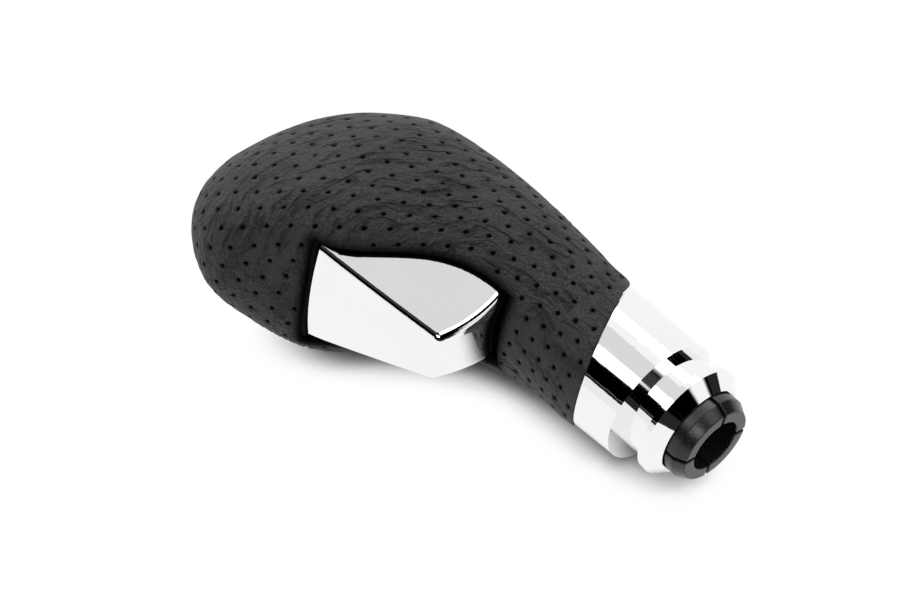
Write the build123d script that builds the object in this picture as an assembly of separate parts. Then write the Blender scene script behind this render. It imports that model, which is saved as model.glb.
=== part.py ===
from build123d import *
from functools import lru_cache
from math import cos, pi, radians, sin, tan
import os

os.makedirs("parts", exist_ok=True)

# All sizes are in millimetres. Z runs up the lever axis from the mouth of the lever
# socket, X points to the driver's fingers (the button side) and Y goes across.

# Lever socket and its split collet
LEVER_R = 6.0
LEVER_DEPTH = 38.0
SOCKET_WALL = 2.4
SOCKET_LID = 5.0
COLLET_FACE_R = 8.5
COLLET_LIP_R = 9.85
COLLET_LIP_H = 5.8
COLLET_ROUND_H = 2.4
COLLET_NECK_WALL = 3.0
COLLET_NECK_TOP = 19.0
SLIT_COUNT = 4
SLIT_W = 0.9
SLIT_DEPTH = 13.0
SLIT_TURN = 2.0
RIB_PROUD = 1.2
RIB_H = 3.0
RIB_Z = 33.0

# Spring clip that grips the lever's groove
CLIP_WIRE = 1.0
CLIP_Z = 27.0
CLIP_ARC = 250.0

# Neck ring, with a flange that the gaiter hooks behind
RING_MOUTH_Z = 4.6
RING_MOUTH_R = 10.3
RING_EDGE_Z = 7.5
RING_EDGE_R = 13.0
RING_EDGE_FLAT = 1.35
RING_WAIST_Z = 9.4
RING_WAIST_R = 11.5
RING_SPIGOT_WALL = 1.8

# Collar, leaning forward a little, with a tongue up the back of the grip
COLLAR_RIM_Z = 15.0
COLLAR_R = 14.2
COLLAR_OFFSET = 1.15
COLLAR_FLARE = 0.028
COLLAR_LEAN = 0.035
COLLAR_FLOOR = 2.0
COLLAR_BORE_R = 12.0
CUT_Z = 31.6
CUT_SLOPE = 0.458
TONGUE_HALF = 10.0
TONGUE_FOOT_HALF = 14.6
TONGUE_FOOT_Z = 33.0
TONGUE_NECK_Z = 42.0
TONGUE_SHOULDER_Z = 66.0
TONGUE_TIP_Z = 76.0
TONGUE_WALL = 1.8

# Grip outline: distance from the lever axis, then height
GRIP_FOOT_Z = 24.0
FRONT_LINE = [
    (16.0, 44.0), (21.5, 59.7), (36.7, 73.2), (45.6, 84.9), (51.2, 94.0), (51.5, 107.2), (40.4, 113.7)]
BACK_LINE = [(-11.9, 43.0), (-12.6, 66.0), (-11.6, 84.5), (-6.6, 101.0), (5.0, 112.7)]
FLANK_LINE = [(17.9, 46.0), (20.9, 68.0), (20.4, 88.0), (10.8, 104.0), (4.5, 113.5)]
CROWN_X = 29.0
CROWN_Z = 118.1
GRIP_FULLNESS = 0.45
FACE_FULLNESS = 1.73
FACE_MIDDLE = 0.525
FACE_SPAN = 0.232
SECTION_POINTS = 16
SECTION_STEPS = [0.0, 0.12, 0.24, 0.36, 0.48, 0.6, 0.72, 0.83, 0.92, 0.97]

# Leather and the two halves of the core
LEATHER = 1.2
LEATHER_PROUD = 0.3
LEATHER_GAP = 0.15
CORE_WALL = 4.0
CORE_SHELL_Z = 88.0
CORE_CROWN_Z = 106.0
SCREW_R = 1.25
SCREW_HEAD_R = 2.4
SCREW_HEAD_H = 2.0
SCREW_SEAT_Y = 9.0
SCREW_END_Y = 9.0
SCREW_PLACES = [(2.0, 73.0), (-1.0, 96.0), (41.0, 98.0)]
BOSS_R = 4.0

# Release button, a wedge hinged at its upper end
BUTTON_FOOT = (31.8, 50.0)
BUTTON_BROW = (41.5, 78.0)
BUTTON_TOP_W = 25.2
BUTTON_FOOT_W = 12.1
BUTTON_DRAFT = 15.3
BUTTON_CROWN_R = 45.0
BUTTON_END_SAG = 1.6
BUTTON_END_X = 11.5
BUTTON_HEEL = (10.8, 55.5)
BUTTON_TOP_DEPTH = 10.0
BUTTON_WALL = 1.6
EDGE_ROUND = 2.0
END_ROUND = 3.0
BUTTON_GAP = 0.8
FRAME_LIP = 1.1
FRAME_DEPTH = 3.0
BUTTON_TRAVEL = 10.0
POCKET_START = 2.0
POCKET_MOUTH = 11.0

# Button carrier, its pin and its cam nose
PIVOT_X = 31.0
PIVOT_Z = 76.5
PIN_R = 1.5
PIN_HALF = 17.0
BARREL_R = 2.9
BARREL_HALF = 11.8
CARRIER_WALL = 2.0
CARRIER_RIB_HALF = 4.2
NOSE_X = 9.8
NOSE_Z = 54.6
NOSE_R = 2.2
PAD_R = 2.0
PAD_H = 3.0
PAD_Y = 7.6
PAD_REACH = 24.0

# Plunger that the cam nose drives down, and its return spring
CAM_ANGLE = 27.0
CAM_GAP = 0.3
CAM_BELOW = 2.5
CAM_ABOVE = 9.0
PLUNGER_HALF = 4.8
PLUNGER_BACK_X = -5.5
PLUNGER_FOOT_Z = 48.6
STEM_R = 3.0
STEM_END_Z = 41.6
SPRING_R = 4.4
SPRING_WIRE_R = 0.45
SPRING_TURNS = 3.5
CHANNEL_RISE = 3.5

# Fits
FIT = 0.05
RUNNING = 0.08
SLIDE = 0.3


def turned(points):
    """Body of revolution about the lever axis, from (radius, height) points."""
    return revolve(Plane.XZ * make_face(Polyline(*points, close=True)), Axis.Z)


def tube(outer, inner, low, high):
    """Straight tube on the lever axis."""
    return turned([(inner, low), (outer, low), (outer, high), (inner, high)])


def across(x, z, radius, start, end):
    """Round rod that runs across the knob, from y = start to y = end."""
    place = Plane(origin=(x, start, z), x_dir=(1, 0, 0), z_dir=(0, 1, 0))
    return extrude(place * Circle(radius), end - start)


def slab(outline, half):
    """Side-view outline, thickened evenly to both sides of the middle."""
    return extrude(Plane.XZ * outline, half, both=True)


def turned_about_pivot(body, angle):
    """Body as it stands when the button is pressed in by the angle."""
    return body.rotate(Axis((PIVOT_X, 0, PIVOT_Z), (0, 1, 0)), angle)


def save(body, name):
    """Write one piece to its own file."""
    export_step(body, os.path.join("parts", name + ".step"))


# Grip form, a smooth egg on a waist

def collar_radius(z):
    return COLLAR_R + COLLAR_FLARE * (z - COLLAR_RIM_Z)


def collar_centre(z):
    return COLLAR_OFFSET + COLLAR_LEAN * (z - COLLAR_RIM_Z)


foot_r = collar_radius(GRIP_FOOT_Z) + LEATHER_PROUD
foot_x = collar_centre(GRIP_FOOT_Z)


def rail(points, at_crown):
    """Smooth line up the grip, ending level at the crown."""
    places = [(reach, 0, height) for reach, height in points]
    return Spline(*places, tangents=[(0, 0, 1), (at_crown, 0, 0)])


front_rail = rail([(foot_x + foot_r, GRIP_FOOT_Z)] + FRONT_LINE + [(CROWN_X, CROWN_Z)], -1)
back_rail = rail([(foot_x - foot_r, GRIP_FOOT_Z)] + BACK_LINE + [(CROWN_X, CROWN_Z)], 1)
flank_rail = rail([(foot_r, GRIP_FOOT_Z)] + FLANK_LINE + [(0, CROWN_Z)], -1)


def inward(line, step, inset, side):
    """Point on a rail, moved in square to the surface."""
    heading = line % step
    return line @ step - Vector(heading.Z, 0, -heading.X) * inset * side


def grip_section(step, inset):
    """Rounded cross-section between the front and the back rail, squarer round the button."""
    front = inward(front_rail, step, inset, 1)
    back = inward(back_rail, step, inset, -1)
    half_depth = (front - back).length / 2
    half_width = inward(flank_rail, step, inset, 1).X
    back_fullness = 2 + GRIP_FULLNESS * sin(pi * step)
    face_share = max(0, 1 - ((step - FACE_MIDDLE) / FACE_SPAN) ** 2) ** 2
    front_fullness = back_fullness + FACE_FULLNESS * face_share
    points = []
    for index in range(SECTION_POINTS):
        angle = 2 * pi * (index + 0.5) / SECTION_POINTS
        power = 2 / (front_fullness if cos(angle) > 0 else back_fullness)
        reach = half_depth * abs(cos(angle)) ** power
        spread = half_width * abs(sin(angle)) ** power
        points.append((reach if cos(angle) > 0 else -reach, spread if sin(angle) > 0 else -spread))
    lie = Plane(origin=(front + back) / 2, x_dir=front - back, z_dir=(front - back).cross(Vector(0, 1, 0)))
    return lie * make_face(Spline(*points, periodic=True))


@lru_cache
def grip_form(inset):
    """Solid of the grip, inset evenly from the leather's outer face."""
    sections = [grip_section(step, inset) for step in SECTION_STEPS]
    return loft(sections + [Vertex(CROWN_X, 0, CROWN_Z - inset)])


cut = Plane(origin=(0, 0, CUT_Z), x_dir=(1, 0, -CUT_SLOPE), z_dir=(CUT_SLOPE, 0, 1))
leather_form = grip_form(0)
chrome_form = grip_form(LEATHER_PROUD)
core_form = grip_form(LEATHER + FIT)


@lru_cache
def tongue_prism(grow):
    """Outline of the tongue, cut straight through the back of the grip."""
    half = TONGUE_HALF + grow
    foot = TONGUE_FOOT_HALF + grow
    flare = Spline((foot, TONGUE_FOOT_Z), (half, TONGUE_NECK_Z), tangents=[(-0.7, 0.7), (0, 1)])
    edge = Polyline((0, GRIP_FOOT_Z), (foot, GRIP_FOOT_Z), (foot, TONGUE_FOOT_Z))
    side = Line((half, TONGUE_NECK_Z), (half, TONGUE_SHOULDER_Z))
    top = TONGUE_TIP_Z + grow
    tip = Spline((half, TONGUE_SHOULDER_Z), (0, top), tangents=[(0, 1), (-1, 0)])
    axis = Line((0, top), (0, GRIP_FOOT_Z))
    right = make_face(edge + flare + side + tip + axis)
    plan = right + mirror(right, Plane.YZ)
    return extrude(Plane.YZ * plan, -COLLAR_R * 2)


# Button form, a wedge with drafted sides, a crowned face and a bowed lower end

button_foot = Vector(BUTTON_FOOT[0], 0, BUTTON_FOOT[1])
button_brow = Vector(BUTTON_BROW[0], 0, BUTTON_BROW[1])
button_rise = (button_brow - button_foot).normalized()
button_out = Vector(button_rise.Z, 0, -button_rise.X)
button_half = (button_brow - button_foot).length / 2
button_middle = (button_foot + button_brow) / 2


def button_slice(depth, grow):
    """Tapered outline of the button, depth below the crest of its face."""
    reach = button_half * 1.6 + grow
    slope = (BUTTON_TOP_W - BUTTON_FOOT_W) / (4 * button_half)
    middle = (BUTTON_TOP_W + BUTTON_FOOT_W) / 4 + depth * tan(radians(BUTTON_DRAFT)) + grow
    low = middle - slope * reach
    high = middle + slope * reach
    face = make_face(Polyline((-low, -reach), (low, -reach), (high, reach), (-high, reach), close=True))
    return Plane(origin=button_middle - button_out * depth, x_dir=(0, 1, 0), z_dir=button_out) * face


def button_side(grow, deeper):
    """Side view of the button, grown all round, with its open back moved deeper."""
    inner_brow = button_brow - button_out * (BUTTON_TOP_DEPTH + deeper)
    end = (BUTTON_END_X - deeper, BUTTON_FOOT[1])
    heel = (BUTTON_HEEL[0] - deeper, BUTTON_HEEL[1])
    bow = ((BUTTON_FOOT[0] + BUTTON_END_X) / 2, BUTTON_FOOT[1] - BUTTON_END_SAG)
    out_brow = button_brow + button_out * BUTTON_GAP
    out_foot = button_foot + button_out * BUTTON_GAP
    outline = ThreePointArc((out_foot.X, out_foot.Z), bow, (BUTTON_END_X, BUTTON_FOOT[1]))
    outline += Polyline((BUTTON_END_X, BUTTON_FOOT[1]), end, heel) if deeper else Line(end, heel)
    outline += Polyline(
        heel, (inner_brow.X, inner_brow.Z), (out_brow.X, out_brow.Z), (out_foot.X, out_foot.Z))
    face = make_face(outline)
    return offset(face, grow, kind=Kind.INTERSECTION) if grow else face


@lru_cache
def button_form(grow, deeper):
    """Solid wedge of the button."""
    shallow = -1.0 - max(grow, 0)
    wedge = loft([button_slice(shallow, grow), button_slice(BUTTON_TOP_W + 8, grow)], ruled=True)
    crown_place = Plane(origin=button_middle - button_out * BUTTON_CROWN_R, z_dir=button_rise)
    crown = extrude(crown_place * Circle(BUTTON_CROWN_R + grow), button_half * 3, both=True)
    return wedge & slab(button_side(grow, deeper), BUTTON_TOP_W) & crown


def pocket_form(grow, deeper):
    """The button's form with its mouth carried straight out through the leather."""
    mouth = extrude(button_slice(POCKET_START, grow), POCKET_MOUTH)
    brow = Plane(origin=button_brow + button_rise * grow, z_dir=button_rise)
    return button_form(grow, deeper) + split(mouth, brow, keep=Keep.BOTTOM)


# Split collet and lever socket, one moulding
socket_r = LEVER_R + SOCKET_WALL
neck_r = LEVER_R + COLLET_NECK_WALL
socket_top = LEVER_DEPTH + SOCKET_LID
collet_sleeve = turned([
    (LEVER_R, 0), (COLLET_FACE_R, 0), (COLLET_LIP_R, COLLET_ROUND_H), (COLLET_LIP_R, COLLET_LIP_H),
    (neck_r, COLLET_LIP_H), (neck_r, COLLET_NECK_TOP), (socket_r, COLLET_NECK_TOP), (socket_r, RIB_Z),
    (socket_r + RIB_PROUD, RIB_Z), (socket_r + RIB_PROUD, RIB_Z + RIB_H), (socket_r, RIB_Z + RIB_H),
    (socket_r, socket_top), (STEM_R + RUNNING, socket_top), (STEM_R + RUNNING, LEVER_DEPTH),
    (LEVER_R, LEVER_DEPTH),
])
for index in range(SLIT_COUNT):
    slit = Pos(COLLET_LIP_R, 0, SLIT_DEPTH / 2) * Box(COLLET_LIP_R, SLIT_W, SLIT_DEPTH)
    collet_sleeve -= Rot(0, 0, SLIT_TURN + 360 / SLIT_COUNT * index) * slit
clip_in = socket_r - CLIP_WIRE - FIT
collet_sleeve -= tube(socket_r + FIT, clip_in - FIT, CLIP_Z - FIT, CLIP_Z + CLIP_WIRE + FIT)
save(collet_sleeve, "collet_sleeve")

clip_face = make_face(Polyline(
    (clip_in, CLIP_Z), (clip_in + CLIP_WIRE, CLIP_Z),
    (clip_in + CLIP_WIRE, CLIP_Z + CLIP_WIRE), (clip_in, CLIP_Z + CLIP_WIRE), close=True))
save(revolve(Plane.XZ * clip_face, Axis.Z, CLIP_ARC), "lever_clip")

# Neck ring
ring_bore = neck_r + FIT * 2
spigot_r = ring_bore + RING_SPIGOT_WALL
spigot_top = COLLAR_RIM_Z + COLLAR_FLOOR
neck_ring = turned([
    (ring_bore, COLLET_LIP_H + FIT), (RING_MOUTH_R - FIT * 2, COLLET_LIP_H + FIT),
    (RING_MOUTH_R - FIT * 2, RING_MOUTH_Z), (RING_MOUTH_R, RING_MOUTH_Z),
    (RING_EDGE_R, RING_EDGE_Z), (RING_EDGE_R, RING_EDGE_Z + RING_EDGE_FLAT),
    (RING_WAIST_R, RING_WAIST_Z), (RING_WAIST_R, COLLAR_RIM_Z),
    (spigot_r, COLLAR_RIM_Z), (spigot_r, spigot_top), (ring_bore, spigot_top),
])
save(neck_ring, "neck_ring")

# Collar with its tongue
collar_top = CUT_Z + CUT_SLOPE * COLLAR_R * 1.2
cone = loft([Pos(collar_centre(z), 0, z) * Circle(collar_radius(z)) for z in (COLLAR_RIM_Z, collar_top)])
collar = split(cone, cut, keep=Keep.BOTTOM)
collar -= tube(COLLAR_BORE_R, 0, spigot_top, collar_top)
collar -= tube(spigot_r + FIT, 0, 0, collar_top)
tongue_band = (chrome_form - grip_form(LEATHER_PROUD + TONGUE_WALL)) & tongue_prism(0)
tongue = split(tongue_band, cut, keep=Keep.TOP)
tongue_root = split(tongue_prism(0), cut.offset(-TONGUE_WALL), keep=Keep.TOP)
collar = collar + tongue + (tongue_band & cone & tongue_root)
save(collar, "collar")

# Leather cover
leather = leather_form - grip_form(LEATHER)
leather = split(leather, cut.offset(FIT), keep=Keep.TOP)
leather -= tongue_prism(LEATHER_GAP)
leather -= pocket_form(BUTTON_GAP + FIT * 4, BUTTON_HEEL[0])
save(leather, "leather_cover")

# Plunger with the cam face that the button's nose rides on
cam_out = Vector(cos(radians(CAM_ANGLE)), 0, sin(radians(CAM_ANGLE)))
cam_up = Vector(-cam_out.Z, 0, cam_out.X)
cam_touch = Vector(NOSE_X, 0, NOSE_Z) - cam_out * (NOSE_R + CAM_GAP)
cam_low = cam_touch - cam_up * CAM_BELOW
cam_high = cam_touch + cam_up * CAM_ABOVE
plunger = tube(STEM_R, 0, STEM_END_Z, PLUNGER_FOOT_Z) + slab(make_face(Polyline(
    (PLUNGER_BACK_X, PLUNGER_FOOT_Z), (cam_low.X, PLUNGER_FOOT_Z), (cam_low.X, cam_low.Z),
    (cam_high.X, cam_high.Z), (PLUNGER_BACK_X, cam_high.Z), close=True)), PLUNGER_HALF)
save(plunger, "release_plunger")

# Return spring between the socket and the plunger
spring_low = socket_top + SPRING_WIRE_R + FIT
spring_rise = PLUNGER_FOOT_Z - SPRING_WIRE_R - FIT - spring_low
coil = Pos(0, 0, spring_low) * Helix(spring_rise / SPRING_TURNS, spring_rise, SPRING_R)
wire = Plane(origin=coil @ 0, z_dir=coil % 0) * Circle(SPRING_WIRE_R)
save(sweep(wire, path=coil, is_frenet=True), "plunger_spring")

# Stop pads, standing square to the button when it is fully in
heel = Vector(BUTTON_HEEL[0], 0, BUTTON_HEEL[1])
back_top = button_brow - button_out * BUTTON_TOP_DEPTH
back_run = (back_top - heel).normalized()
back_in = Vector(-back_run.Z, 0, back_run.X)
pad_foot = back_top - back_run * PAD_REACH + back_in * SLIDE


def pad(side, grow):
    """Rubber pad on one side of the plunger, or the hole it stands in."""
    place = Plane(origin=pad_foot + Vector(0, PAD_Y * side, 0), x_dir=(0, 1, 0), z_dir=back_in)
    return turned_about_pivot(extrude(place * Circle(PAD_R + grow), PAD_H + grow), BUTTON_TRAVEL)


save(Compound([pad(side, 0) for side in (-1, 1)]), "stop_pads")

# Screws that hold the two halves of the core together
screws = []
screw_holes = []
for x, z in SCREW_PLACES:
    shank = across(x, z, SCREW_R, -SCREW_SEAT_Y, SCREW_END_Y)
    screws.append(shank + across(x, z, SCREW_HEAD_R, -SCREW_SEAT_Y - SCREW_HEAD_H, -SCREW_SEAT_Y))
    screw_holes.append(across(x, z, SCREW_R + FIT, -SCREW_SEAT_Y, SCREW_END_Y + FIT))
    screw_holes.append(across(x, z, SCREW_HEAD_R + SLIDE, -PIN_HALF * 2, -SCREW_SEAT_Y))
save(Compound(screws), "core_screws")

# Core of the grip: hollow above the button but for its screw bosses, with a seat for
# the socket, the tongue, the pocket frame and the stop pads, and room for the button
tube_r = COLLAR_BORE_R - FIT
bosses = [across(x, z, BOSS_R, -PIN_HALF * 2, PIN_HALF * 2) for x, z in SCREW_PLACES]
hollow = split(grip_form(LEATHER + CORE_WALL), Plane.XY.offset(CORE_SHELL_Z), keep=Keep.TOP)
hollow = split(hollow, Plane.XY.offset(CORE_CROWN_Z), keep=Keep.BOTTOM) - bosses
tongue_seat = tongue_prism(FIT) - grip_form(LEATHER_PROUD + TONGUE_WALL + FIT)
frame_outer = pocket_form(BUTTON_GAP + FRAME_LIP, 1)
frame_floor = LEATHER + FIT + FRAME_DEPTH
channel = slab(make_face(Polyline(
    (PLUNGER_BACK_X - SLIDE, socket_top), (cam_low.X + SLIDE, socket_top),
    (cam_low.X + SLIDE, cam_high.Z + CHANNEL_RISE), (PLUNGER_BACK_X - SLIDE, cam_high.Z + CHANNEL_RISE),
    close=True)), PLUNGER_HALF + SLIDE)
room = [turned_about_pivot(button_form(BUTTON_GAP, 1), BUTTON_TRAVEL * share) for share in (0.5, 1)]
core = split(core_form, cut.offset(FIT), keep=Keep.TOP)
core += tube(tube_r, 0, spigot_top + FIT, CUT_Z + CUT_SLOPE * tube_r)
core -= [
    tube(socket_r + FIT, 0, 0, socket_top + FIT),
    tube(neck_r + FIT, 0, 0, COLLET_NECK_TOP + FIT),
    tube(socket_r + RIB_PROUD + FIT, 0, RIB_Z - FIT, RIB_Z + RIB_H + FIT),
    hollow,
    tongue_seat,
    frame_outer - grip_form(frame_floor),
    across(PIVOT_X, PIVOT_Z, BARREL_R + SLIDE, -BARREL_HALF - SLIDE, BARREL_HALF + SLIDE),
    across(PIVOT_X, PIVOT_Z, PIN_R + FIT, -PIN_HALF, PIN_HALF),
    channel,
    pocket_form(BUTTON_GAP, 1),
    *room,
    *[pad(side, FIT) for side in (-1, 1)],
    *screw_holes,
]
save(split(core, Plane.XZ, keep=Keep.BOTTOM), "grip_core_left")
save(split(core, Plane.XZ, keep=Keep.TOP), "grip_core_right")

# Black frame that lines the mouth of the pocket, under the leather's edge
frame_band = grip_form(LEATHER + FIT * 2) - grip_form(frame_floor - FIT)
pocket_frame = (frame_outer - pocket_form(BUTTON_GAP, PIN_HALF)) & frame_band
pocket_frame -= across(PIVOT_X, PIVOT_Z, PIN_R + SLIDE, -PIN_HALF, PIN_HALF)
save(pocket_frame, "pocket_frame")

# Chromed button cap, open at the back, with a slot for the pin on each side
cap = button_form(0, 0)


def is_end_edge(edge):
    """True for the edges round the lower end of the button."""
    middle = edge @ 0.5
    return middle.Z < BUTTON_FOOT[1] + BUTTON_WALL and middle.X > BUTTON_END_X + BUTTON_WALL


def is_ridge(edge):
    """True for the two long ridges beside the face."""
    middle = edge @ 0.5
    shallow = (button_middle - middle).dot(button_out) < BUTTON_WALL * 2
    return shallow and abs(middle.Y) > BUTTON_FOOT_W / 2 and edge.length > button_half


def is_beside(edge):
    """True for an edge at one side of the button, not across its middle."""
    return abs((edge @ 0.5).Y) > BUTTON_FOOT_W / 4


cap = fillet([edge for edge in cap.edges() if is_end_edge(edge) and is_beside(edge)], END_ROUND)
end_front = [edge for edge in cap.edges() if is_end_edge(edge) and not is_beside(edge)]
cap = fillet(cap.edges().filter_by(is_ridge) + end_front, EDGE_ROUND)
pin_slot = across(PIVOT_X, PIVOT_Z, PIN_R + SLIDE, -PIN_HALF, PIN_HALF)
pin_slot += Pos(PIVOT_X - PIN_HALF / 2, 0, PIVOT_Z) * Box(PIN_HALF, PIN_HALF * 2, (PIN_R + SLIDE) * 2)
save(cap - button_form(-BUTTON_WALL, PIN_HALF) - pin_slot, "release_button")

# Carrier inside the cap: a ribbed shell with the hinge barrel and the cam nose
inside = BUTTON_WALL + FIT
carrier = button_form(-inside, inside)
rib = carrier & Box(CROWN_Z, CARRIER_RIB_HALF * 2, CROWN_Z * 2)
carrier -= button_form(-inside - CARRIER_WALL, PIN_HALF)
carrier += [
    rib,
    across(PIVOT_X, PIVOT_Z, BARREL_R, -BARREL_HALF, BARREL_HALF),
    across(NOSE_X, NOSE_Z, NOSE_R, -CARRIER_RIB_HALF, CARRIER_RIB_HALF),
]
carrier -= across(PIVOT_X, PIVOT_Z, PIN_R + RUNNING, -PIN_HALF, PIN_HALF)
save(carrier, "button_carrier")
save(across(PIVOT_X, PIVOT_Z, PIN_R, -PIN_HALF + SLIDE, PIN_HALF - SLIDE), "pivot_pin")
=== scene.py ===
import math

import bmesh
import bpy
import numpy as np
from mathutils import Matrix, Vector, geometry, kdtree, noise
from mathutils.bvhtree import BVHTree


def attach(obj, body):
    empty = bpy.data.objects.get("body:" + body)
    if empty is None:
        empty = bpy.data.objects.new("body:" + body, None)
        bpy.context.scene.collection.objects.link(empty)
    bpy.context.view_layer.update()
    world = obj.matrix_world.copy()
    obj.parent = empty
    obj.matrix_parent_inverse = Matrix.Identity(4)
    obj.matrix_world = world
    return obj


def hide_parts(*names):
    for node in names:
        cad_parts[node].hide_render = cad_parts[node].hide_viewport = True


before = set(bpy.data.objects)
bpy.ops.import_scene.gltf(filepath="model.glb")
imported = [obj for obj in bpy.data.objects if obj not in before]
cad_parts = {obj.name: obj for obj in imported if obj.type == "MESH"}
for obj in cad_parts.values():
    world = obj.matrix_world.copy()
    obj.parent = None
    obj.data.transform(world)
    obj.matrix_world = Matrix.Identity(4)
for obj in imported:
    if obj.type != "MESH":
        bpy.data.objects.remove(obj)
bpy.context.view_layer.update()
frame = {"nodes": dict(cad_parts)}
nodes = frame["nodes"]

# Split collet and lever socket: one moulding in black acetal. Its four fingers snap through
# the neck ring and close on the lever; the outside is satin from the tool.


class Value:
    """A value in a finish; sums and products of it add Math nodes."""

    def __init__(self, nodes, socket):
        self.nodes = nodes
        self.socket = socket

    def __add__(self, other):
        return self.nodes.math("ADD", self, other)

    def __sub__(self, other):
        return self.nodes.math("SUBTRACT", self, other)

    def __rsub__(self, other):
        return self.nodes.math("SUBTRACT", other, self)

    def __mul__(self, other):
        return self.nodes.math("MULTIPLY", self, other)

    def __gt__(self, other):
        return self.nodes.math("GREATER_THAN", self, other)

    def __pow__(self, other):
        return self.nodes.math("POWER", self, other)

    __radd__ = __add__
    __rmul__ = __mul__


class Nodes:
    """The node tree of a finish, of the table or of the tent."""

    def __init__(self, owner):
        owner.use_nodes = True
        self.owner = owner
        self.tree = owner.node_tree
        self.tree.nodes.clear()

    def feed(self, socket, value):
        if isinstance(value, Value):
            self.tree.links.new(value.socket, socket)
        else:
            socket.default_value = value

    def node(self, kind, settings={}, sockets={}, output=0):
        """A new node and its output, or all its outputs by name."""
        made = self.tree.nodes.new("ShaderNode" + kind)
        for name, value in settings.items():
            if name == "stops":
                levels = made.color_ramp.elements
                for index, (place, shade) in enumerate(value):
                    stop = levels[index] if index < 2 else levels.new(place)
                    stop.position = place
                    stop.color = (shade, shade, shade, 1)
            else:
                setattr(made, name, value)
        for name, value in sockets.items():
            self.feed(made.inputs[name], value)
        if output is None:
            return {socket.name: Value(self, socket) for socket in made.outputs}
        return Value(self, made.outputs[output]) if made.outputs else None

    def math(self, operation, first, second):
        return self.node("Math", {"operation": operation}, {0: first, 1: second})

    def blend(self, share, first, second):
        """Colour between two colours."""
        return self.node("Mix", {"data_type": "RGBA"}, {0: share, 6: first, 7: second}, 2)

    def place(self):
        """Place on the part, in metres."""
        return self.node("TexCoord", output="Object")

    def speckle(self, scale, detail=3.0, vector=None):
        return self.node("TexNoise", {}, {
            "Vector": vector or self.place(), "Scale": scale, "Detail": detail})

    def bump(self, height, depth, normal=None):
        sockets = {"Height": height, "Distance": depth}
        if normal:
            sockets["Normal"] = normal
        return self.node("Bump", {}, sockets)

    def ramp(self, value, *stops):
        """Level at a value, between stops that each give a value and its level."""
        return self.node("ValToRGB", {"stops": stops}, {"Fac": value})

    def surface(self, sockets):
        shader = self.node("BsdfPrincipled", {}, sockets)
        self.node("OutputMaterial", {}, {"Surface": shader})
        return self.owner


def finish(name):
    return Nodes(bpy.data.materials.new(name))


def grey(level, warm=0.0):
    return (level * (1 + warm), level, level * (1 - warm), 1)


def wear(material, *names):
    """Gives a finish to nodes of the frame."""
    for name in names:
        mesh = nodes[name].data
        mesh.materials.clear()
        mesh.materials.append(material)


acetal = finish("satin_black_acetal")
acetal_flow = acetal.speckle(90.0)
acetal_grain = acetal.speckle(2600.0)
acetal_edges = acetal.node("Bevel", {"samples": 6}, {"Radius": 0.0006})
wear(acetal.surface({
    "Base Color": acetal.blend(acetal_flow, grey(0.008), grey(0.016)),
    "Roughness": 0.22 + acetal_flow * 0.1,
    "Normal": acetal.bump(acetal_grain, 0.00003, acetal_edges),
}), "collet_sleeve")

# Lever clip, return spring, hinge pin and screws: drawn steel wire and cold-headed screws, zinc
# plated. They stay inside the grip and show only when it is taken apart.

steel = finish("zinc_plated_steel")
steel_cloud = steel.speckle(700.0)
wear(steel.surface({
    "Base Color": steel.blend(steel_cloud, grey(0.42), grey(0.6, 0.02)),
    "Metallic": 1.0,
    "Roughness": 0.24 + steel_cloud * 0.16,
}), "lever_clip", "plunger_spring", "pivot_pin", "core_screws")

# Core halves, plunger and button carrier: glass-filled nylon mouldings. The halves are screwed
# together round the socket, and the glass shows as a faint speckle.

nylon = finish("glass_filled_nylon")
nylon_glass = nylon.speckle(1900.0, 1.0)
nylon_skin = nylon.speckle(350.0)
wear(nylon.surface({
    "Base Color": nylon.blend(nylon_glass ** 3, grey(0.011), grey(0.06)),
    "Roughness": 0.48 + nylon_skin * 0.2,
    "Normal": nylon.bump(nylon_skin, 0.00006),
}), "grip_core_left", "grip_core_right", "release_plunger", "button_carrier")

# Frame of the button's pocket: a thin matt black moulding that lines the gap round the button.
# It sits in the core, with the leather's edge turned down over it.

matt = finish("matt_black_frame")
matt_spark = matt.speckle(1500.0)
wear(matt.surface({
    "Base Color": matt.blend(matt_spark, grey(0.002), grey(0.006)),
    "Roughness": 0.75 + matt_spark * 0.2,
    "Specular IOR Level": 0.15,
    "Normal": matt.bump(matt_spark, 0.00005),
}), "pocket_frame")

# Stop pads: two plugs of black rubber, pressed into the core. The button lands on them at the end
# of its travel.

rubber = finish("stop_rubber")
rubber_bloom = rubber.speckle(600.0)
wear(rubber.surface({
    "Base Color": rubber.blend(rubber_bloom, grey(0.014), grey(0.03)),
    "Roughness": 0.7 + rubber_bloom * 0.2,
    "Normal": rubber.bump(rubber_bloom, 0.00005),
}), "stop_pads")

# Button cap, collar and neck ring: mouldings with a bright chrome plate over polished nickel.
# The plate is mirror smooth with a faint cloud of handling.

chrome = finish("bright_chrome_plate")
chrome_cloud = chrome.speckle(60.0)
chrome_haze = chrome.speckle(420.0)
wear(chrome.surface({
    "Base Color": chrome.blend(chrome_cloud, grey(0.88), grey(0.93)),
    "Metallic": 1.0,
    "Roughness": 0.03 + chrome_haze * 0.03,
}), "release_button", "collar", "neck_ring")

# Leather cover: one piece of black perforated hide, wetted, stretched over the core and glued, with
# its edges turned in at the collar, the tongue and the button's pocket and closed by a seam behind.
# Its sizes are in millimetres until the mesh is made.

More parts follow.
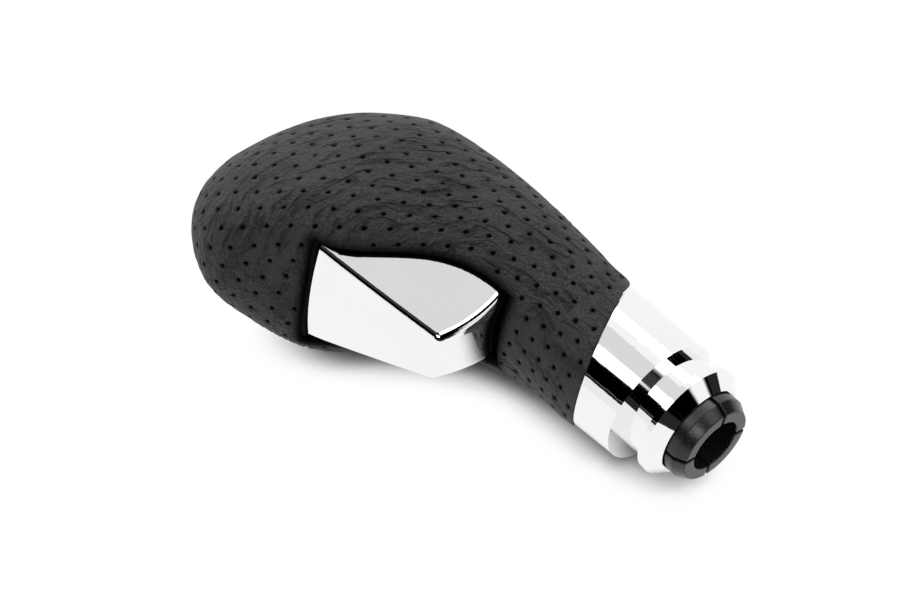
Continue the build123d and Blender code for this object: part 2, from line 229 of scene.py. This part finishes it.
FOOT_HEIGHT = 24.0
FOOT_RADIUS = 14.752
FOOT_MIDDLE = 1.465
CROWN = (29.0, 118.1)
FRONT_LINE = [
    (16.0, 44.0), (21.5, 59.7), (36.7, 73.2), (45.6, 84.9),
    (51.2, 94.0), (51.5, 107.2), (40.4, 113.7)]
BACK_LINE = [(-11.9, 43.0), (-12.6, 66.0), (-11.6, 84.5), (-6.6, 101.0), (5.0, 112.7)]
FLANK_LINE = [(17.9, 46.0), (20.9, 68.0), (20.4, 88.0), (10.8, 104.0), (4.5, 113.5)]
ROUND = 2
FULLNESS = 0.45
FACE_FULLNESS = 1.73
FACE_MIDDLE = 0.525
FACE_SPAN = 0.232
ROWS = 480
COLUMNS = 720
BACK = COLUMNS // 2


def rail(points, last):
    """Smooth line through points, by share of its chord length, level at the crown."""
    points = np.array(points)
    gaps = np.linalg.norm(np.diff(points, axis=0), axis=1)
    knots = np.concatenate([[0], np.cumsum(gaps)])
    slopes = np.diff(points, axis=0) / gaps[:, None]
    system = np.eye(len(points))
    headings = np.zeros_like(points)
    for i in range(1, len(points) - 1):
        system[i, i - 1:i + 2] = gaps[i], 2 * (gaps[i - 1] + gaps[i]), gaps[i - 1]
        headings[i] = 3 * (gaps[i] * slopes[i - 1] + gaps[i - 1] * slopes[i])
    first_speed = np.polyfit(knots[:4], points[:4], 3)[2]
    last_speed = np.polyfit(knots[-4:] - knots[-1], points[-4:], 3)[2]
    headings[0] = np.array((0, 1)) * np.linalg.norm(first_speed)
    headings[-1] = np.array((last, 0)) * np.linalg.norm(last_speed)
    headings = np.linalg.solve(system, headings)
    at = np.linspace(0, 1, ROWS + 1) * knots[-1]
    i = np.clip(np.searchsorted(knots, at, side="right") - 1, 0, len(gaps) - 1)
    gap = gaps[i][:, None]
    t = (at - knots[i])[:, None] / gap
    return ((1 + 2 * t) * (1 - t) ** 2 * points[i] + t * (1 - t) ** 2 * gap * headings[i]
            + t * t * (3 - 2 * t) * points[i + 1] + t * t * (t - 1) * gap * headings[i + 1])


front_rail = rail([(FOOT_MIDDLE + FOOT_RADIUS, FOOT_HEIGHT)] + FRONT_LINE + [CROWN], -1)
back_rail = rail([(FOOT_MIDDLE - FOOT_RADIUS, FOOT_HEIGHT)] + BACK_LINE + [CROWN], 1)
flank_rail = rail([(FOOT_RADIUS, FOOT_HEIGHT)] + FLANK_LINE + [(0, CROWN[1])], -1)

# The form as a net of even spacing round each section, from the front over the +Y side
share = np.linspace(0, 1, ROWS + 1)
around = np.linspace(0, 2 * np.pi, COLUMNS * 2 + 1)[None, :]
fullness = ROUND + FULLNESS * np.sin(np.pi * share)
face_share = np.clip(1 - ((share - FACE_MIDDLE) / FACE_SPAN) ** 2, 0, 1) ** 2
face_fullness = fullness + FACE_FULLNESS * face_share
power = np.where(np.cos(around) > 0, 2 / face_fullness[:, None], 2 / fullness[:, None])
reach = np.sign(np.cos(around)) * np.abs(np.cos(around)) ** power
spread = np.sign(np.sin(around)) * np.abs(np.sin(around)) ** power
middle = (front_rail + back_rail) / 2
lean = (front_rail - back_rail) / 2
rings = np.stack([
    middle[:, 0, None] + lean[:, 0, None] * reach,
    flank_rail[:, 0, None] * spread,
    middle[:, 1, None] + lean[:, 1, None] * reach], -1)
steps = np.linalg.norm(np.diff(rings, axis=1), axis=2)
arcs = np.concatenate([np.zeros((ROWS + 1, 1)), np.cumsum(steps, axis=1)], 1)
girth = arcs[:, -1]
net = np.zeros((ROWS + 1, COLUMNS, 3))
for i in range(ROWS + 1):
    even = np.linspace(0, girth[i], COLUMNS, endpoint=False)
    for axis in range(3):
        net[i, :, axis] = np.interp(even, arcs[i], rings[i, :, axis])


def facing(net):
    """Outward direction at each point of the net."""
    out = np.cross(np.roll(net, -1, axis=1) - np.roll(net, 1, axis=1), np.gradient(net, axis=0))
    out[-1] = (0, 0, 1)
    return out / np.linalg.norm(out, axis=2)[..., None]


def smooth(table):
    """Table of the net with each value averaged with those beside, below and above it."""
    table = sum(np.roll(table, shift, axis=1) for shift in (-1, 0, 1)) / 3
    table[1:-1] = (table[:-2] + table[1:-1] + table[2:]) / 3
    return table


# The solid's skin lies a little off the form between its sections: the net moves onto it
SKIN_REACH = 2.5
SKIN_FACING = 0.5
SKIN_PASSES = (12, 5, 3)
SCARCELY = 1e-6
outward = facing(net)
skin = BVHTree.FromPolygons(
    [vert.co * 1000 for vert in nodes["leather_cover"].data.vertices],
    [face.vertices for face in nodes["leather_cover"].data.polygons])
for passes in SKIN_PASSES:
    off = np.zeros((ROWS + 1, COLUMNS))
    known = np.zeros((ROWS + 1, COLUMNS))
    for i in range(0, ROWS + 1, 2):
        for j in range(0, COLUMNS, 2):
            spot, way, _, gap = skin.find_nearest(net[i, j])
            if gap < SKIN_REACH and way.dot(outward[i, j]) > SKIN_FACING:
                off[i, j] = Vector(outward[i, j]).dot(spot - Vector(net[i, j]))
                known[i, j] = 1
    for _ in range(passes):
        off = smooth(off)
        known = smooth(known)
    off = np.where(known > SCARCELY, off / np.maximum(known, SCARCELY), 0)
    off[-1] = off[-2].mean()
    net = net + outward * off[..., None]
    outward = facing(net)

# The net on a flat chart, a disc with the crown in its middle
every_row = np.arange(ROWS + 1)
step_up = np.linalg.norm(np.diff(net, axis=0), axis=2).mean(1)
climb = np.concatenate([[0], np.cumsum(step_up)])
shrink = np.cumsum(step_up * 4 * np.pi / (girth[1:] + girth[:-1]))
chart_radius = np.exp(-np.concatenate([[0], shrink]))
chart_radius[-1] = 0


def read(table, row, column):
    """Value of a net's table between its points."""
    i = np.clip(row.astype(int), 0, ROWS - 1)
    j = np.floor(column).astype(int)
    a = (row - i)[:, None]
    b = (column - j)[:, None]
    j, k = j % COLUMNS, (j + 1) % COLUMNS
    return ((1 - a) * ((1 - b) * table[i, j] + b * table[i, k])
            + a * ((1 - b) * table[i + 1, j] + b * table[i + 1, k]))


net_tree = kdtree.KDTree((ROWS // 2 + 1) * COLUMNS // 2)
for i in range(0, ROWS + 1, 2):
    for j in range(0, COLUMNS, 2):
        net_tree.insert(net[i, j], i * COLUMNS + j)
net_tree.balance()


def locate(points):
    """Row and column on the net of points on the form."""
    found = np.array([net_tree.find(point)[1] for point in points])
    i, j = np.clip(found // COLUMNS, 1, ROWS - 1), found % COLUMNS
    up = (net[i + 1, j] - net[i - 1, j]) / 2
    side = (net[i, (j + 1) % COLUMNS] - net[i, j - 1]) / 2
    away = np.array(points) - net[i, j]
    up_up, up_side, side_side = (up * up).sum(1), (up * side).sum(1), (side * side).sum(1)
    away_up, away_side = (away * up).sum(1), (away * side).sum(1)
    slant = up_up * side_side - up_side * up_side
    row = i + (away_up * side_side - away_side * up_side) / slant
    column = j + (away_side * up_up - away_up * up_side) / slant
    return row, column % COLUMNS


def chart(row, column):
    """Place on the chart of a row and column of the net."""
    radius = np.interp(row, every_row, chart_radius)
    angle = column * 2 * np.pi / COLUMNS
    return np.stack([radius * np.cos(angle), radius * np.sin(angle)], 1)


# Edges of the hide: the sharp outer edges of the solid it stands for
EDGE_PITCH = 0.4
EDGE_BEND = 0.5
EDGE_SHORTEST = 20
WELD = 1e-6
solid = bmesh.new()
solid.from_mesh(nodes["leather_cover"].data)
bmesh.ops.remove_doubles(solid, verts=solid.verts, dist=WELD)
solid.verts.index_update()
solid.faces.ensure_lookup_table()
outer = set()
reached = [max(solid.faces, key=lambda face: face.calc_center_median().y)]
while reached:
    face = reached.pop()
    outer.add(face)
    for edge in face.edges:
        if edge.calc_face_angle(0) < EDGE_BEND:
            reached += [other for other in edge.link_faces if other not in outer]
edge_ends = {}
for edge in solid.edges:
    if len(outer.intersection(edge.link_faces)) == 1:
        for vert in edge.verts:
            edge_ends.setdefault(vert.index, []).append(edge.other_vert(vert).index)
solid.verts.ensure_lookup_table()
borders = []
unwalked = set(edge_ends)
while unwalked:
    walk = [min(unwalked)]
    while True:
        unwalked.discard(walk[-1])
        onward = [index for index in edge_ends[walk[-1]] if index in unwalked]
        if not onward:
            break
        walk.append(onward[0])
    line = np.array([solid.verts[index].co * 1000 for index in walk + walk[:1]])
    run = np.concatenate([[0], np.cumsum(np.linalg.norm(np.diff(line, axis=0), axis=1))])
    if run[-1] > EDGE_SHORTEST:
        even = np.linspace(0, run[-1], int(run[-1] / EDGE_PITCH), endpoint=False)
        borders.append(np.stack([np.interp(even, run, line[:, axis]) for axis in range(3)], 1))
solid.free()

# The pocket's edge stands back a little, clear of the button as it swings
POCKET_CLEAR = 0.35
POCKET_FOOT = 40.0
rims = [min(border[:, 2]) > POCKET_FOOT for border in borders]
outlines = []
for index, border in enumerate(borders):
    if rims[index]:
        away = border - border.mean(0)
        borders[index] = border + away / np.linalg.norm(away, axis=1)[:, None] * POCKET_CLEAR
    row, column = locate(borders[index])
    outlines.append(chart(row, column))


def covered(places):
    """True where a place on the chart is inside the hide's edges."""
    inside = np.zeros(len(places), bool)
    for outline in outlines:
        for start, end in zip(outline, np.roll(outline, -1, axis=0)):
            crosses = (start[1] > places[:, 1]) != (end[1] > places[:, 1])
            rise = places[:, 1] - start[1]
            with np.errstate(divide="ignore", invalid="ignore"):
                at = start[0] + rise * (end[0] - start[0]) / (end[1] - start[1])
            inside ^= crosses & (places[:, 0] < at)
    return inside


border_tree = kdtree.KDTree(sum(len(border) for border in borders))
for which, border in enumerate(borders):
    for point in border:
        border_tree.insert(point, which)
border_tree.balance()


def from_edge(points):
    """Distance of points from the nearest edge, and whether that edge is the pocket's."""
    found = [border_tree.find(point) for point in points]
    return np.array([f[2] for f in found]), np.array([rims[f[1]] for f in found])


# Perforations: a staggered pattern turned on the hide, which the stretch over the head opens.
# Each hole is rings of points, given by radius, height and how much painted shade they carry, darkest at
# the bottom of the dimple.
HOLE_PITCH = 4.2
HOLE_TURN = math.radians(-12)
HOLE_STAGGER = math.radians(60)
HOLE_MIDDLE = 95
HOLE_START = 40
HOLE_COUNT = 40
HEAD_STRETCH = 1.18
STRETCH_START = 30
STRETCH_RUN = 40
HOLE_RINGS = [
    (1.0, 0.0, 0.0), (0.76, -0.05, 0.06), (0.56, -0.13, 0.3),
    (0.42, -0.3, 0.9), (0.3, -0.6, 1.0), (0, -0.7, 1.0)]
HOLE_POINTS = 10
HOLE_MARGIN = 1.5
HOLE_APART = 2.8
SEAM_CLEAR = 1.8
stretch = 1 + (HEAD_STRETCH - 1) * np.clip((climb - STRETCH_START) / STRETCH_RUN, 0, 1)
flat_climb = np.concatenate([[0], np.cumsum(step_up / stretch[1:])])
cross_turn = HOLE_TURN - HOLE_STAGGER
holes = []
for a in range(-HOLE_COUNT, HOLE_COUNT + 1):
    for b in range(-HOLE_COUNT, HOLE_COUNT + 1):
        flat_s = HOLE_PITCH * (a * math.cos(HOLE_TURN) + b * math.cos(cross_turn))
        flat_t = HOLE_PITCH * (a * math.sin(HOLE_TURN) + b * math.sin(cross_turn)) + HOLE_START
        if 0 < flat_t < flat_climb[-1]:
            row = np.interp(flat_t, flat_climb, every_row)
            i = int(row)
            column = HOLE_MIDDLE + flat_s * stretch[i] / girth[i] * COLUMNS
            seam = SEAM_CLEAR / girth[i] * COLUMNS
            if BACK - COLUMNS + seam < column < BACK - seam:
                holes.append((row, column % COLUMNS))
holes = np.array(holes)
hole_points = read(net, holes[:, 0], holes[:, 1])
hole_edge, _ = from_edge(hole_points)
kept = covered(chart(holes[:, 0], holes[:, 1])) & (hole_edge > HOLE_MARGIN)
kept &= np.interp(holes[:, 0], every_row, climb) < climb[-1] - HOLE_APART / 2
for index, point in enumerate(hole_points):
    gaps = np.linalg.norm(hole_points[:index][kept[:index]] - point, axis=1)
    kept[index] &= bool(np.all(gaps > HOLE_APART))
holes = holes[kept]
hole_tree = kdtree.KDTree(len(holes))
for index, point in enumerate(hole_points[kept]):
    hole_tree.insert(point, index)
hole_tree.balance()

# Points of the mesh: an even net, rings at each hole and rows along each edge
NET_PITCH = 0.55
NET_RISE = 0.866
NET_FEWEST = 6
EDGE_CLEAR = 0.8
EDGE_ROWS = (0.14, 0.32, 0.58)
EDGE_PROBE = 0.5
rows, columns = [], []
for index, level in enumerate(np.arange(0, climb[-1], NET_PITCH * NET_RISE)):
    row = np.interp(level, climb, every_row)
    count = max(NET_FEWEST, round(np.interp(row, every_row, girth) / NET_PITCH))
    rows += [row] * count
    columns += list((np.arange(count) + index % 2 / 2) * COLUMNS / count)
rows, columns = np.array(rows), np.array(columns)
points = read(net, rows, columns)
to_hole = np.array([hole_tree.find(point)[2] for point in points])
kept = covered(chart(rows, columns))
kept &= from_edge(points)[0] > EDGE_CLEAR
kept &= to_hole > HOLE_RINGS[0][0] + NET_PITCH / 3
rows, columns = rows[kept], columns[kept]
drops = np.zeros(len(rows))
pierced = np.zeros(len(rows))
hole_girth = np.interp(holes[:, 0], every_row, girth)
hole_step = np.interp(holes[:, 0], every_row[:-1], step_up)
for radius, drop, shade in HOLE_RINGS:
    for corner in range(HOLE_POINTS if radius else 1):
        angle = 2 * math.pi * corner / HOLE_POINTS
        rows = np.append(rows, holes[:, 0] + radius * math.sin(angle) / hole_step)
        columns = np.append(columns, holes[:, 1] + radius * math.cos(angle) / hole_girth * COLUMNS)
        drops = np.append(drops, np.full(len(holes), drop))
        pierced = np.append(pierced, np.full(len(holes), shade))
loops = []
for border in borders:
    row, column = locate(border)
    loops.append(np.arange(len(border)) + len(rows))
    rows, columns = np.append(rows, row), np.append(columns, column)
    normals = read(outward, row, column)
    inward = np.cross(normals, np.roll(border, -1, axis=0) - np.roll(border, 1, axis=0))
    inward /= np.linalg.norm(inward, axis=1)[:, None]
    if covered(chart(*locate(border + inward * EDGE_PROBE))).mean() < 0.5:
        inward = -inward
    for inset in EDGE_ROWS:
        row, column = locate(border + inward * inset)
        good = covered(chart(row, column))
        rows, columns = np.append(rows, row[good]), np.append(columns, column[good])
drops = np.append(drops, np.zeros(len(rows) - len(drops)))
pierced = np.append(pierced, np.zeros(len(rows) - len(pierced)))

# Triangles between the points, on the chart and within the edges
CHART_WELD = 1e-9
border_edges = [(loop[i], loop[(i + 1) % len(loop)]) for loop in loops for i in range(len(loop))]
places = [Vector(place) for place in chart(rows, columns)]
places, _, triangles, origins, _, _ = geometry.delaunay_2d_cdt(
    places, border_edges, [], 0, CHART_WELD)
source = np.array([origin[0] for origin in origins])
rows, columns, drops, pierced = rows[source], columns[source], drops[source], pierced[source]
triangles = np.array(list(triangles))
triangles = triangles[covered(np.array(places)[triangles].mean(1))]
renamed = {old: new for new, old in enumerate(source)}
loops = [[renamed[index] for index in loop if index in renamed] for loop in loops]

# Creases run round the button, where the hide was pulled tight over the pocket
CREASE_MIDDLE = (37.0, 36.0)
CREASE_SIZE = (1.5, 9, 8)
CREASE_DEPTH = 0.4
FINE_SIZE = (0.9, 4, 4)
FINE_START = 9
FINE_DEPTH = 0.05
SWELL_SIZE = 11
SWELL_START = np.array((3, 5, 7))
SWELL_DEPTH = 0.08
WARP_SIZE = 9
WARP = 2.2
PULL_PEAK = 46
PULL_BAND = 24
PULL_LEAST = 0.6
EDGE_CALM = 3
surface = read(net, rows, columns)
normals = read(outward, rows, columns)
normals /= np.linalg.norm(normals, axis=1)[:, None]
edge, pocket = from_edge(surface)
across = surface[:, [0, 2]] - CREASE_MIDDLE
distance = np.linalg.norm(across, axis=1)
bearing = np.arctan2(across[:, 1], across[:, 0])
height = np.zeros(len(surface))
for index, (point, far, angle) in enumerate(zip(surface, distance, bearing)):
    warp = noise.noise(point / WARP_SIZE) * WARP
    crease = 1 - abs(noise.noise((
        far / CREASE_SIZE[0] + warp, angle * far / CREASE_SIZE[1], point[1] / CREASE_SIZE[2])))
    fine = noise.noise((
        far / FINE_SIZE[0] + warp * 2, angle * far / FINE_SIZE[1], point[1] / FINE_SIZE[2] + FINE_START))
    swell = noise.noise(point / SWELL_SIZE + SWELL_START)
    pull = math.exp(-((far - PULL_PEAK) / PULL_BAND) ** 2) * (PULL_LEAST + swell)
    height[index] = CREASE_DEPTH * pull * (crease ** 3 - 0.5) + FINE_DEPTH * fine + SWELL_DEPTH * swell
height *= np.clip(edge / EDGE_CALM, 0, 1)

# The edges roll over and turn in, painted shade darkens the hide along the pocket's edge, and the seam
# draws the hide in behind
POCKET_SHADE = 1.7
POCKET_ROLL = 1.2
EDGE_ROLL = 0.5
EDGE_TURN_IN = 1.15
SEAM_DEPTH = 0.25
SEAM_HALF = 0.45
SEAM_END = 8
SEAM_FADE = 5
pierced = np.maximum(pierced, np.where(pocket, np.exp(-(edge / POCKET_SHADE) ** 2), 0))
roll = np.where(pocket, POCKET_ROLL, EDGE_ROLL)
inner = np.clip(roll - edge, 0, roll)
height -= roll - np.sqrt(roll ** 2 - inner ** 2)
to_seam = np.abs((columns - BACK) * np.interp(rows, every_row, girth) / COLUMNS)
to_crown = climb[-1] - np.interp(rows, every_row, climb)
seam_share = np.clip((to_crown - SEAM_END) / SEAM_FADE, 0, 1)
height -= SEAM_DEPTH * np.exp(-(to_seam / SEAM_HALF) ** 2) * seam_share
verts = list(map(tuple, surface + normals * (height + drops)[:, None]))
faces = [tuple(face) for face in triangles]
for loop in loops:
    below = len(verts)
    verts += [tuple(surface[index] - normals[index] * EDGE_TURN_IN) for index in loop]
    for i in range(len(loop)):
        k = (i + 1) % len(loop)
        faces.append((loop[i], loop[k], below + k, below + i))

mesh = bpy.data.meshes.new("leather")
mesh.from_pydata([Vector(vert) / 1000 for vert in verts], [], faces)
mesh.update()
# The attribute holds painted shade: in the holes, along the pocket's edge, and full on the turned-in
# edge walls
shades = np.append(pierced, np.ones(len(verts) - len(pierced)))
depth = mesh.attributes.new("pierced", "FLOAT", "POINT")
depth.data.foreach_set("value", shades.astype(np.float32))
sewn = bmesh.new()
sewn.from_mesh(mesh)
bmesh.ops.recalc_face_normals(sewn, faces=sewn.faces)
sewn.to_mesh(mesh)
sewn.free()
mesh.shade_smooth()
leather = bpy.data.objects.new("leather", mesh)
bpy.context.scene.collection.objects.link(leather)

# Finish of the hide: fine creases round the button, cells, grain and pores, with painted shade: near
# black in the holes, along the pocket's edge and on the turned-in edges
hide = finish("perforated_leather")
hide_place = hide.place()
# The attribute mixes in a near-black skin as painted shade in the holes, along the pocket's edge and on
# the turned-in edges
hide_darkening = hide.node("Attribute", {"attribute_name": "pierced"}, {}, "Fac")
hide_off = hide.node("VectorMath", {"operation": "SUBTRACT"}, {
    0: hide_place, 1: (CREASE_MIDDLE[0] / 1000, 0, CREASE_MIDDLE[1] / 1000)})
hide_split = hide.node("SeparateXYZ", {}, {0: hide_off}, None)
hide_far = (hide_split["X"] * hide_split["X"] + hide_split["Z"] * hide_split["Z"]) ** 0.5
hide_bearing = hide.math("ARCTAN2", hide_split["Z"], hide_split["X"])
hide_drift = hide.speckle(90.0, 2.0)
hide_flow = hide.node("CombineXYZ", {}, {
    "X": hide_far * 620 + hide_drift * 5,
    "Y": hide_bearing * hide_far * 110,
    "Z": hide_split["Y"] * 160})
hide_fold = hide.speckle(1.0, 3.0, hide_flow)
hide_crease = hide.ramp(hide_fold, (0.36, 0.0), (0.5, 1.0), (0.6, 0.8))
hide_cells = hide.node("TexVoronoi", {"feature": "SMOOTH_F1"}, {
    "Vector": hide_place, "Scale": 1100.0})
hide_grain = hide.speckle(1250.0, 2.0)
hide_pores = hide.speckle(2600.0, 2.0)
hide_pebble = hide.ramp(hide_pores * 0.55 + hide_grain * 0.45, (0.42, 0.0), (0.58, 1.0))
hide_cloud = hide.speckle(70.0)
hide_height = hide_crease * 1.7 + hide_cells * 0.9 + hide_grain * 1.6 + hide_pores * 1.2
# Random tone of the hide, darkened below as painted shade in the crease valleys, and darker where the
# pores and grain are low
hide_tone = hide.blend(hide_cloud, grey(0.048), grey(0.062))
hide_shaded_colour = hide.blend(hide_crease * 0.65 + hide_pebble * 0.35, grey(0.01), hide_tone)
hide_skin = hide.node("BsdfPrincipled", {}, {
    "Base Color": hide_shaded_colour,
    "Roughness": 0.42 + hide_grain * 0.2,
    "Specular IOR Level": 0.36,
    "Normal": hide.bump(hide_height, 0.0004)})
hide_dark = hide.node("BsdfPrincipled", {}, {
    "Base Color": hide.blend(hide_grain, grey(0.001), grey(0.003)),
    "Roughness": 0.9,
    "Specular IOR Level": 0.05})
hide.node("OutputMaterial", {}, {
    "Surface": hide.node("MixShader", {}, {0: hide_darkening, 1: hide_skin, 2: hide_dark})})
mesh.materials.append(hide.owner)
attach(leather, "grip")
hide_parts("leather_cover")

# Stage: a white table that the grip lies on, cheek down, under a white tent with dark gaps low
# down. The camera stands where the photograph was taken from.

UP = Vector((0.106, 0.990, 0.079)).normalized()
TOWARD = Vector((0.66, -0.011, -0.751))
RIGHT = Vector((-0.744, 0.132, -0.655))
HIDE_SWELL = 0.0004
TABLE_HALF = 1.5
lowest = min(UP.dot(vert.co) for node in nodes.values() for vert in node.data.vertices) - HIDE_SWELL
side = UP.orthogonal().normalized()
ahead = UP.cross(side)
table_mesh = bpy.data.meshes.new("table")
table_mesh.from_pydata([
    UP * lowest + side * a * TABLE_HALF + ahead * b * TABLE_HALF
    for a, b in ((-1, -1), (1, -1), (1, 1), (-1, 1))], [], [(0, 1, 2, 3)])
table_mesh.update()
table = bpy.data.objects.new("table", table_mesh)
bpy.context.scene.collection.objects.link(table)

# The table is white to the eye and in the chrome, with the grip's shadow painted in from ambient
# occlusion round where it touches
white = finish("white_table")
white_eye = white.node("LightPath", output="Is Camera Ray")
white_gloss = white.node("LightPath", output="Is Glossy Ray")
white_seen = white.math("MAXIMUM", white_eye, white_gloss)
white_back = white.node("NewGeometry", output="Backfacing")
# Painted shadow: the white glow is darkened by ambient occlusion near the grip
white_near = white.node("AmbientOcclusion", {"samples": 16}, {"Distance": 0.006}, "AO")
white_far = white.node("AmbientOcclusion", {"samples": 16}, {"Distance": 0.012}, "AO")
white_contact = white.ramp(white_near, (0.1, 0.01), (0.35, 0.3), (0.6, 0.85), (0.8, 1.0))
white_shade = white_contact * white.ramp(
    white_far, (0.1, 0.1), (0.35, 0.55), (0.55, 0.95), (0.7, 1.0))
white_glow = white.node("Emission", {}, {"Color": white_shade})
white_lit = white.node("BsdfDiffuse", {}, {"Color": grey(0.28)})
white_top = white.node("MixShader", {}, {0: white_seen, 1: white_lit, 2: white_glow})
white_clear = white.node("BsdfTransparent")
white.node("OutputMaterial", {}, {
    "Surface": white.node("MixShader", {}, {0: white_back, 1: white_top, 2: white_clear})})
table_mesh.materials.append(white.owner)

# The tent by bearing, a share of a turn with the camera at a half, and by the sine of the rise
LAMP_LIGHT = 5
RING_LIGHT = 3.8
GAP_DARK = 0.98
GAP_RISE = 0.06
world = bpy.data.worlds.new("tent")
bpy.context.scene.world = world
tent = Nodes(world)
tent_way = tent.node("TexCoord", output="Generated")


def along(axis):
    return tent.node("VectorMath", {"operation": "DOT_PRODUCT"}, {0: tent_way, 1: axis}, "Value")


tent_rise = along(UP)
tent_turn = tent.math("ARCTAN2", along(RIGHT), along(TOWARD)) * (0.5 / math.pi) + 0.5
tent_side = tent.ramp(tent_turn, (0.0, 1.0), (0.3, 0.6), (0.7, 0.6), (1.0, 1.0))
tent_front = tent.ramp(tent_turn, (0.33, 0.0), (0.37, 1.0), (0.6, 1.0), (0.65, 0.0))
tent_ring = tent.ramp(tent_rise, (0.68, 0.0), (0.71, 1.0), (0.86, 1.0), (0.89, 0.0))
tent_top = tent.ramp(tent_rise - tent_front * GAP_RISE, (0.86, 0.0), (0.89, 0.76), (1.0, 0.76))
tent_roof = tent_ring * tent_side * (1 - tent_front * GAP_DARK) * RING_LIGHT + tent_top
tent_low = tent.ramp(
    tent_turn, (0.02, 1.0), (0.06, 0.9), (0.4, 0.9), (0.42, 0.02), (0.65, 0.02),
    (0.66, 1.0), (0.73, 1.0), (0.74, 0.02), (0.87, 0.02), (0.9, 1.0))
tent_back = tent.ramp(tent_turn, (0.04, 1.0), (0.06, 0.0), (0.87, 0.0), (0.9, 1.0))
tent_sill = tent.ramp(
    tent_rise, (0.22, 1.0), (0.24, 0.0), (0.29, 0.0), (0.3, 0.3), (0.31, 0.0))
tent_lamp = (
    tent.ramp(tent_turn, (0.47, 0.0), (0.49, 1.0), (0.54, 1.0), (0.56, 0.0))
    * tent.ramp(tent_rise, (0.45, 0.0), (0.5, 1.0), (0.68, 1.0), (0.74, 0.0)))
tent_window = (
    tent.ramp(tent_turn, (0.66, 0.0), (0.67, 1.0), (0.73, 1.0), (0.74, 0.0))
    * tent.ramp(tent_rise, (0.25, 0.0), (0.27, 1.0), (0.43, 1.0), (0.46, 0.0)))
tent_light = tent_roof
for part in (tent_low * tent_sill, tent_back * (tent_rise > 0), tent_lamp * LAMP_LIGHT, tent_window):
    tent_light = tent.math("MAXIMUM", tent_light, part)
tent_eye = tent.node("LightPath", output="Is Camera Ray")
tent.node("OutputWorld", {}, {"Surface": tent.node("Background", {}, {
    "Color": tent.blend(tent_eye, tent_light, grey(1.0)), "Strength": 1.0})})

# The camera's place and upright, fitted to the edges in the photograph
CAMERA_PLACE = Vector((0.2958, 0.3623, -0.1851))
CAMERA_UP = Vector((-0.396, 0.702, 0.591))
view = bpy.data.cameras.new("camera")
view.lens = 97.83
view.sensor_width = 36.0
view.clip_start = 0.01
camera = bpy.data.objects.new("camera", view)
behind = RIGHT.cross(CAMERA_UP)
camera.matrix_world = Matrix((
    (RIGHT.x, CAMERA_UP.x, behind.x, CAMERA_PLACE.x),
    (RIGHT.y, CAMERA_UP.y, behind.y, CAMERA_PLACE.y),
    (RIGHT.z, CAMERA_UP.z, behind.z, CAMERA_PLACE.z),
    (0, 0, 0, 1)))
bpy.context.scene.collection.objects.link(camera)
bpy.context.scene.camera = camera
bpy.context.scene.view_settings.view_transform = "Standard"
